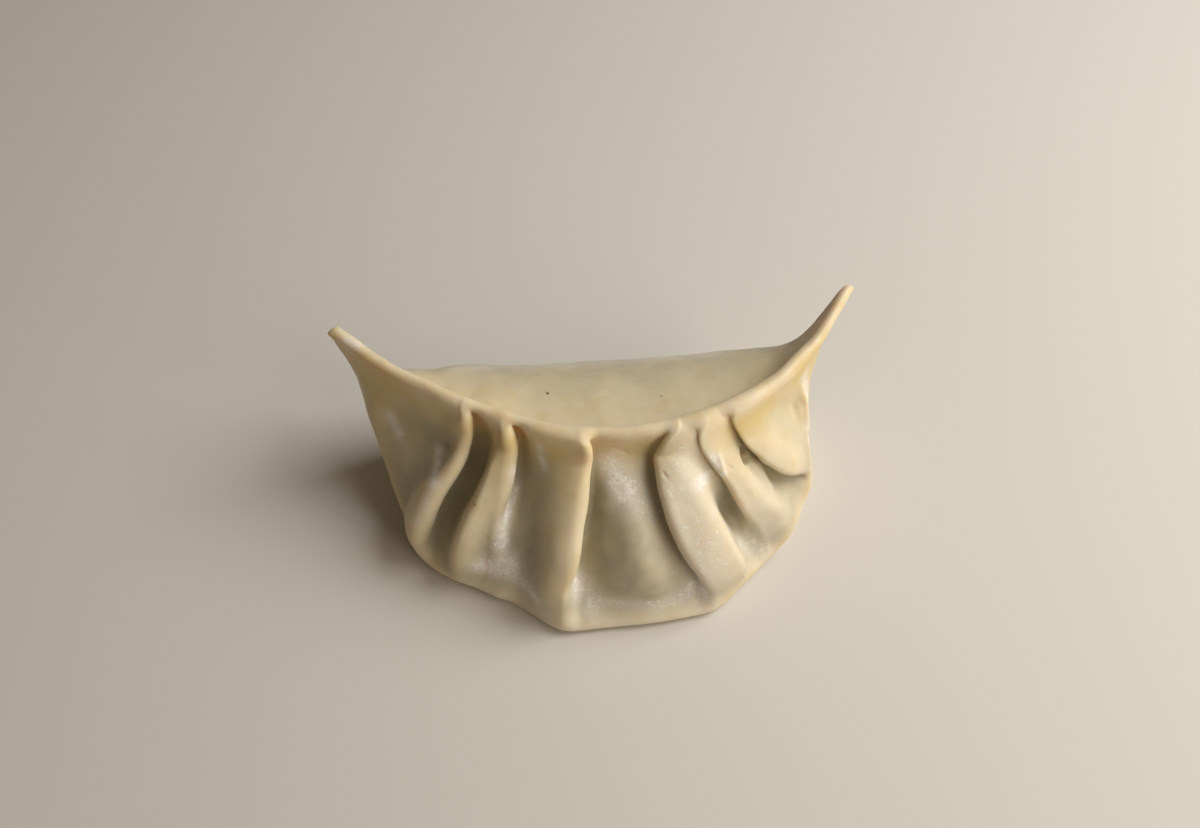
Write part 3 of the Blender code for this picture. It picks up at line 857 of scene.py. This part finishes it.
# %% The dustings, in millimetres
DUSTINGS = {
    # name: weight, reach, route
    "left horn": (0.8, 1.2, ((-38.5, 19, 26), (-37, 18, 26))),
    "left wing": (1.0, 1.2, ((-33, 10, 17.5), (-32, 8, 16.5))),
    "pleat 1": (1.0, 1.0, ((-25.5, 2.5, 18), (-26, 0.5, 16.5), (-26.5, -2.5, 17))),
    "pleat 1 low": (0.5, 1.3, ((-28, -4.5, 14.5), (-29.5, -6, 12))),
    "pleat 2": (0.9, 1.2, (
        (-14, -4, 20.5), (-14.5, -4.5, 16), (-15.5, -6, 14.5), (-16.5, -9, 13.5), (-17, -11, 11),
    )),
    "pleat 2 foot": (1.0, 2.0, ((-20.5, -12.5, 7), (-18.5, -13, 7), (-16.5, -13, 8.5))),
    "pleat 2 hem": (0.7, 2.0, ((-16, -14, 7), (-14.5, -15.5, 5.5), (-13, -17.5, 5.5))),
    "pleat 3": (0.8, 0.8, ((-10, -2.5, 24.5), (-10, -3, 22.5), (-9.5, -4.5, 21.5))),
    # The three belly dustings whiten the upper belly: partly flour, and partly a painted highlight of its
    # damp sheen.
    "belly": (0.7, 1.8, ((-0.5, -5, 22), (0.5, -6.5, 21), (1.5, -8.5, 19.5))),
    "belly thumb and highlight": (1.0, 1.1, ((1.5, -8, 20), (2, -9, 19.5))),
    "belly film and highlight": (0.5, 2.6, ((0, -5.5, 21.5), (1.5, -7.5, 20.5), (4, -10, 18.5))),
    "pleat 4": (1.0, 1.0, ((12.5, -9.5, 21), (14.5, -8, 21))),
    "pleat 4 tongue": (1.0, 0.9, ((15.5, -7, 23.5), (16.5, -8, 21.5))),
    "pit by pleat 3": (1.0, 1.9, ((-5.5, -17.5, 8), (-5, -19, 6), (-4, -20, 4.5))),
    "belly foot": (0.6, 1.6, ((-4, -19.5, 6), (0, -20, 5), (6.5, -20.5, 4.5), (11, -19.5, 4.5))),
    "pit by pleat 4": (1.0, 1.5, ((12, -18.5, 5), (13, -20, 4))),
    "right low": (0.6, 1.8, ((20, -12.5, 8.5), (22.5, -12.5, 6), (24.5, -13, 4))),
    "right edge": (0.7, 1.1, ((31.5, 6, 25), (32.5, 5.5, 19.5), (32.5, 1.5, 14.5))),
    "pillow": (0.55, 4.8, ((11, -7, 24), (10, -10.5, 21.5), (12.5, -16.5, 15.5), (14.5, -19, 9))),
    "pleat 6 low": (0.4, 3.5, ((21.5, -11, 16), (25, -11, 9.5))),
    "foot": (0.4, 2.0, (
        (-26, -7, 1), (-21.5, -13.5, 1), (-15, -17, 1.5), (-7, -21.5, 2), (3, -22, 1.5), (14.5, -21, 1.5),
    )),
    "back edge": (0.5, 2.2, ((-22, 18, 20.5), (-8, 18.5, 19), (8, 17.5, 19.5), (20, 17, 20.5))),
}
# Above 1, so that the middle of a heavy dusting is fully floured and not only its highest point.
FULL_DUSTING = 1.15


def dust(obj):
    """Stores how much flour each vertex carries, from 0 to 1, and returns the mean."""
    points = (points_of(obj) - STAND) / MM
    clean = np.ones(len(points))
    for weight, reach, route in DUSTINGS.values():
        clean *= 1 - weight * bump(near_route(points, route)[0], 0, reach)
    flour = np.minimum(FULL_DUSTING * (1 - clean), 1)
    store(obj, "flour", flour)
    return flour.mean()


print("flour covers", round(100 * float(dust(dumpling))), "% of the dumpling")

# %% [markdown]
# ## Raw wheat dough
#
# Raw dough is flour and water, kneaded and rolled. It is matt to softly damp, and light sinks into it
# for a millimetre or two before it comes out again, most of all the red part of the light: that is why
# thin edges and shaded folds look warm, and why no shadow on dough is hard. A plain diffuse cream would
# look like plaster. The Principled shader's subsurface weight lets the light in, and its radius is a
# length, so it is given in real metres. The patches come from noise in real millimetres, which follows
# the dough round every side as no flat picture can.


# %% Colours
def linear(hex_colour):
    """An sRGB colour such as #e8d9b5 as linear RGBA."""
    channels = [int(hex_colour[start : start + 2], 16) / 255 for start in (1, 3, 5)]
    return (*(c / 12.92 if c <= 0.04045 else ((c + 0.055) / 1.055) ** 2.4 for c in channels), 1.0)


# Doubled dough is cream, with warmer spots. The pinched fin and horns get a painted yellow glow, for
# the light that shines through them.
THICK_DOUGH, WARM_DOUGH, PINCHED_GLOW = "#e6d8b9", "#ddc796", "#dcc488"
# Stretched dough lets the filling grey it, most of all where it is damp.
THIN_DOUGH, DAMP_DOUGH = "#beb59c", "#a5a08c"
# Flour is white but never blue, and bran is a dark brown.
FLOUR, BRAN = "#f4efe7", "#54402a"
print("thick dough sends back", round(100 * linear(THICK_DOUGH)[1]), "% of green light")


# %% One function adds a node
def add_node(tree, kind, inputs, out=None, **settings):
    """Adds a node and returns its output of that name, or else the first that is in use.

    Inputs are a list, in the order of the sockets in use, or a dictionary by name. Each gets a value or
    another node's output.
    """
    node = tree.nodes.new("ShaderNode" + kind)
    for name, value in settings.items():
        setattr(node, name, value)
    in_use = [socket for socket in node.inputs if socket.enabled]
    named = inputs.items() if isinstance(inputs, dict) else enumerate(inputs)
    for name, value in named:
        socket = node.inputs[name] if isinstance(name, str) else in_use[name]
        if isinstance(value, bpy.types.NodeSocket):
            tree.links.new(value, socket)
        else:
            socket.default_value = value
    return node.outputs[out] if out else next(socket for socket in node.outputs if socket.enabled)


dough = bpy.data.materials.new("raw_wheat_dough")
dough.use_nodes = True
tree = dough.node_tree
position = add_node(tree, "TexCoord", {}, out="Object")
stretched = add_node(tree, "Attribute", {}, out="Fac", attribute_name="stretched")
pinched = add_node(tree, "Attribute", {}, out="Fac", attribute_name="pinched")
floured = add_node(tree, "Attribute", {}, out="Fac", attribute_name="flour")
print("so far the dough's finish has", len(tree.nodes), "nodes")

# %% Noise, by its real size
# name: millimetres across, detail, roughness
PATTERNS = {
    "clouds": (9.0, 2.0, 0.5),  # where a palm or a damp spot has been
    "warm spots": (4.0, 3.0, 0.6),  # richer and paler dough that isn't kneaded through
    "mottle": (2.5, 3.0, 0.6),  # air and gluten in the sheet
    "clumps": (1.3, 3.0, 0.65),  # flour that has caked
    "pores": (0.6, 3.0, 0.6),  # the skin of the dough
    "grains": (0.35, 2.0, 0.7),  # flour is finer than 0.1 mm, and is drawn coarser so that it shows
}
noises = {}
for name, (size, detail, roughness) in PATTERNS.items():
    inputs = {"Vector": position, "Scale": 1 / (size * MM), "Detail": detail, "Roughness": roughness}
    noises[name] = add_node(tree, "TexNoise", inputs)
sizes = [size for size, _, _ in PATTERNS.values()]
print(len(noises), "patterns, from", min(sizes), "to", max(sizes), "mm across")

# %% Dough colour
# A fade goes softly from its first number to its second, and gives 0 to 1 or its last two numbers.
SOFT, TINT = {"interpolation_type": "SMOOTHSTEP"}, {"data_type": "RGBA"}
CLOUD_FADE, DAMP_SHARE = (0.4, 0.65), 0.45
MOTTLE_FADE, WARM_FADE = (0.35, 0.7), (0.42, 0.68, 0.0, 0.55)
THIN_PATCHES, GLOW_PATCHES = (0.0, 1.0, 0.8, 1.0), (0.0, 1.0, 0.45, 0.9)

clouds = add_node(tree, "MapRange", [noises["clouds"], *CLOUD_FADE], **SOFT)
damp_share = add_node(tree, "Math", [clouds, DAMP_SHARE], operation="MULTIPLY")
thin_colour = add_node(tree, "Mix", [damp_share, linear(THIN_DOUGH), linear(DAMP_DOUGH)], **TINT)
mottle = add_node(tree, "MapRange", [noises["mottle"], *MOTTLE_FADE], **SOFT)
thin_patches = add_node(tree, "MapRange", [mottle, *THIN_PATCHES], **SOFT)
thin_share = add_node(tree, "Math", [stretched, thin_patches], operation="MULTIPLY")
warm_share = add_node(tree, "MapRange", [noises["warm spots"], *WARM_FADE], **SOFT)
thick_colour = add_node(tree, "Mix", [warm_share, linear(THICK_DOUGH), linear(WARM_DOUGH)], **TINT)
# Painted glow: the pinched fin and the horns are tinted yellow for the light that shines through them.
glow_patches = add_node(tree, "MapRange", [clouds, *GLOW_PATCHES], **SOFT)
glow_share = add_node(tree, "Math", [pinched, glow_patches], operation="MULTIPLY")
full_colour = add_node(tree, "Mix", [glow_share, thick_colour, linear(PINCHED_GLOW)], **TINT)
dough_colour = add_node(tree, "Mix", [thin_share, full_colour, thin_colour], **TINT)
print("the colour of the bare dough takes", len(tree.nodes) - len(noises), "nodes besides the noise")

# %% Flour on the dough
GRAIN_SHARE, CLUMP_SHARE, TEXTURE_MIDDLE = 0.3, 0.7, 0.5
BREAKS_UP, DUSTED_FADE, FILM_FADE = 3.6, (0.60, 1.15, 0.0, 0.95), (0.35, 0.65, 0.55, 0.9)

fine = add_node(tree, "Math", [noises["grains"], GRAIN_SHARE], operation="MULTIPLY")
texture = add_node(tree, "Math", [noises["clumps"], CLUMP_SHARE, fine], operation="MULTIPLY_ADD")
uneven = add_node(tree, "Math", [texture, TEXTURE_MIDDLE], operation="SUBTRACT")
broken = add_node(tree, "Math", [uneven, BREAKS_UP, floured], operation="MULTIPLY_ADD")
dusted = add_node(tree, "MapRange", [broken, *DUSTED_FADE], **SOFT)
thin_film = add_node(tree, "MapRange", [noises["grains"], *FILM_FADE], **SOFT)
film = add_node(tree, "Math", [floured, thin_film], operation="MULTIPLY")
floury = add_node(tree, "Math", [dusted, film], operation="MAXIMUM")
skin = add_node(tree, "Mix", [floury, dough_colour, linear(FLOUR)], **TINT)
print("flour hides", round(100 * DUSTED_FADE[-1]), "% of the dough where it lies thickest")

# %% [markdown]
# ## Flecks of bran
#
# Even white flour holds a little bran. It lies flush in the dough, so it is colour and needs no shape.
# Three flecks are large enough to be placed one by one, each as a distance from its own point. The
# specks between them are too many for that: a Voronoi texture has one point in each cell, and a dark
# dot is drawn on some of them.

# %% Flecks of bran
FLECKS = {
    # name: radius, place, in millimetres
    "on the back": (0.34, (-8.0, 9.5, 21.0)),
    "on pleat 2": (0.3, (-20.5, -7.3, 17.5)),
    "by the rim": (0.18, (9.5, 6.5, 22.0)),
}
FLECK_CORE, FLECK_DARKNESS = 0.6, 0.85
for radius, middle in FLECKS.values():
    middle = tuple(np.array(middle) * MM + STAND)
    away = add_node(tree, "VectorMath", [position, middle], out="Value", operation="DISTANCE")
    fade = (FLECK_CORE * radius * MM, radius * MM, FLECK_DARKNESS, 0.0)
    fleck = add_node(tree, "MapRange", [away, *fade], **SOFT)
    skin = add_node(tree, "Mix", [fleck, skin, linear(BRAN)], **TINT)
print(len(FLECKS), "flecks,", ", ".join(FLECKS))

# %% Specks of bran
# Each cell of the texture has a random brightness, and those below the last number stay clean.
SPECK_SPACING, SPECK_RADIUS = 2.6, 0.09
SPECK_CORE, SPECK_DARKNESS, CLEAN_BELOW = 0.5, 0.6, 0.55
reach = SPECK_RADIUS / SPECK_SPACING
away = add_node(tree, "TexVoronoi", {"Vector": position, "Scale": 1 / (SPECK_SPACING * MM)})
speck = add_node(tree, "MapRange", [away, SPECK_CORE * reach, reach, SPECK_DARKNESS, 0.0], **SOFT)
chosen = add_node(tree, "Math", [away.node.outputs["Color"], CLEAN_BELOW], operation="GREATER_THAN")
speck = add_node(tree, "Math", [speck, chosen], operation="MULTIPLY")
skin = add_node(tree, "Mix", [speck, skin, linear(BRAN)], **TINT)
print("specks are", 2 * SPECK_RADIUS, "mm wide and", SPECK_SPACING, "mm apart")

# %% [markdown]
# ## Sheen and depth of the dough
#
# Where the dough is bare it is a little damp and has a broad, soft sheen. Where it is floured it is dry
# and quite matt, and the flour stands a few hundredths of a millimetre proud. That relief is far below
# what the mesh holds, so a Bump node draws it, while everything larger is real shape.

# %% Sheen, depth and relief of the dough
DAMP_FADE, DRY_ROUGHNESS = (0.0, 1.0, 0.42, 0.56), 0.95
PORE_SHARE, RELIEF_STRENGTH, RELIEF_MM = 0.35, 0.35, 0.12
# Wet starch bends light more than water does, at 1.33, and less than dry starch does, at 1.53. Red
# light goes up to 1.8 mm deep, twice as far as green and four times as far as blue.
DEPTH = {
    "IOR": 1.42,
    "Subsurface Weight": 0.6,
    "Subsurface Radius": (1.0, 0.52, 0.26),
    "Subsurface Scale": 1.8 * MM,
}
damp = add_node(tree, "MapRange", [mottle, *DAMP_FADE], **SOFT)
rough = add_node(tree, "Mix", [floury, damp, DRY_ROUGHNESS], data_type="FLOAT")
caked = add_node(tree, "Math", [floury, texture], operation="MULTIPLY")
relief = add_node(tree, "Math", [noises["pores"], PORE_SHARE, caked], operation="MULTIPLY_ADD")
bump_inputs = {"Height": relief, "Strength": RELIEF_STRENGTH, "Distance": RELIEF_MM * MM}

shader = tree.nodes["Principled BSDF"]
tree.links.new(skin, shader.inputs["Base Color"])
tree.links.new(rough, shader.inputs["Roughness"])
tree.links.new(add_node(tree, "Bump", bump_inputs), shader.inputs["Normal"])
for name, value in DEPTH.items():
    shader.inputs[name].default_value = value
dumpling.data.materials.clear()
dumpling.data.materials.append(dough)
print("raw_wheat_dough has", len(tree.nodes), "nodes")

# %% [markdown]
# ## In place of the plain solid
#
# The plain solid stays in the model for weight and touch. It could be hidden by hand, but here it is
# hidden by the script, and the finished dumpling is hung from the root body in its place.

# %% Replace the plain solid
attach(dumpling, "root")
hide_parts(SOLID)
print(dumpling.name, "stands for", SOLID)

# %% [markdown]
# ## A small studio
#
# Food is shown in a large soft light from one side, a little above, so that every fold has a lit and a
# shaded flank. A sun lamp would cut hard shadows, and an even sky would flatten the pleats, so two
# square lamps stand on the right: a strong one beside the dumpling, and a weaker, warmer one further
# forward. The floor is plain and pale, and it sends some light back up under the belly.

# %% Floor
FLOOR_SIZE, FLOOR_PAINT, FLOOR_ROUGHNESS = 3.0, "#d6d2cb", 0.8
deselect_all()
bpy.ops.mesh.primitive_plane_add(size=FLOOR_SIZE, location=(0, 0, float(low[2])))
floor = bpy.context.object
floor.name = "floor"
# Matt paint, pale enough to send light back and too rough to mirror the dumpling.
paint = bpy.data.materials.new("pale_floor")
paint.use_nodes = True
matt_paint = paint.node_tree.nodes["Principled BSDF"]
matt_paint.inputs["Base Color"].default_value = linear(FLOOR_PAINT)
matt_paint.inputs["Roughness"].default_value = FLOOR_ROUGHNESS
floor.data.materials.append(paint)
floor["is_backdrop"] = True
print("the floor is", FLOOR_SIZE, "m wide")

# %% Lamps
# What the lamps and the camera look at: a point just above the middle of the rim.
AIM = Vector((-0.87, -1.11, 29.5)) * MM


def stand_off(name, data, azimuth, elevation, distance):
    """Stands a lamp or camera so many metres off, turned to the dumpling. Azimuth 0 is the front."""
    turn, tilt = math.radians(azimuth), math.radians(elevation)
    away = Vector((math.sin(turn) * math.cos(tilt), -math.cos(turn) * math.cos(tilt), math.sin(tilt)))
    obj = bpy.data.objects.new(name, data)
    obj.location = AIM + away * distance
    obj.rotation_euler = away.to_track_quat("Z", "Y").to_euler()
    bpy.context.scene.collection.objects.link(obj)
    return obj


LAMPS = {
    # name: azimuth, elevation, distance and size in metres, watts, colour
    "key": (98, 46, 0.5, 0.34, 2.4, "#fffdf9"),
    "fill": (45, 27, 0.5, 0.30, 0.8, "#fff1e0"),
}
for name, (azimuth, elevation, distance, size, watts, colour) in LAMPS.items():
    lamp = bpy.data.lights.new(name, "AREA")
    lamp.size, lamp.energy, lamp.color = size, watts, linear(colour)[:3]
    stand_off(name, lamp, azimuth, elevation, distance)
print("lamps:", ", ".join(LAMPS))

# %% The light of the room
ROOM_COLOUR, ROOM_STRENGTH = "#f5dbb6", 0.12
room = bpy.data.worlds.new("studio")
room.use_nodes = True
room.node_tree.nodes["Background"].inputs["Color"].default_value = linear(ROOM_COLOUR)
room.node_tree.nodes["Background"].inputs["Strength"].default_value = ROOM_STRENGTH
bpy.context.scene.world = room
bpy.context.scene.view_settings.view_transform = "Standard"
print("the room gives", ROOM_STRENGTH, "of a full white light")

# %% [markdown]
# ## The camera
#
# The dumpling is seen from above and a little from its left, as it looks to the cook who shaped it. A
# long lens would flatten the bow of the rim, so a 35 mm lens comes close: 17 cm.

# %% Camera
CAMERA_AZIMUTH, CAMERA_ELEVATION, CAMERA_DISTANCE = -6.0, 55.0, 0.170
lens = bpy.data.cameras.new("camera")
lens.lens, lens.sensor_width = 35.0, 36.0
lens.clip_start = 5 * MM
camera = stand_off("camera", lens, CAMERA_AZIMUTH, CAMERA_ELEVATION, CAMERA_DISTANCE)
bpy.context.scene.camera = camera
print("the camera stands at", [round(side / MM) for side in camera.location], "mm")

# %% [markdown]
# ## Sizes
#
# The dressed dumpling has to stay as large as the plain solid, or it would no longer fit its weight and
# its touch. Both boxes are printed side by side, so that they can be compared.

# %% Sizes of the solid and of the dressed dumpling
dressed_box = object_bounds()
for axis, solid_side, side in zip("xyz", frame_box[1] - frame_box[0], dressed_box[1] - dressed_box[0]):
    print(axis, round(solid_side / MM, 2), "mm as a solid,", round(side / MM, 2), "mm dressed")
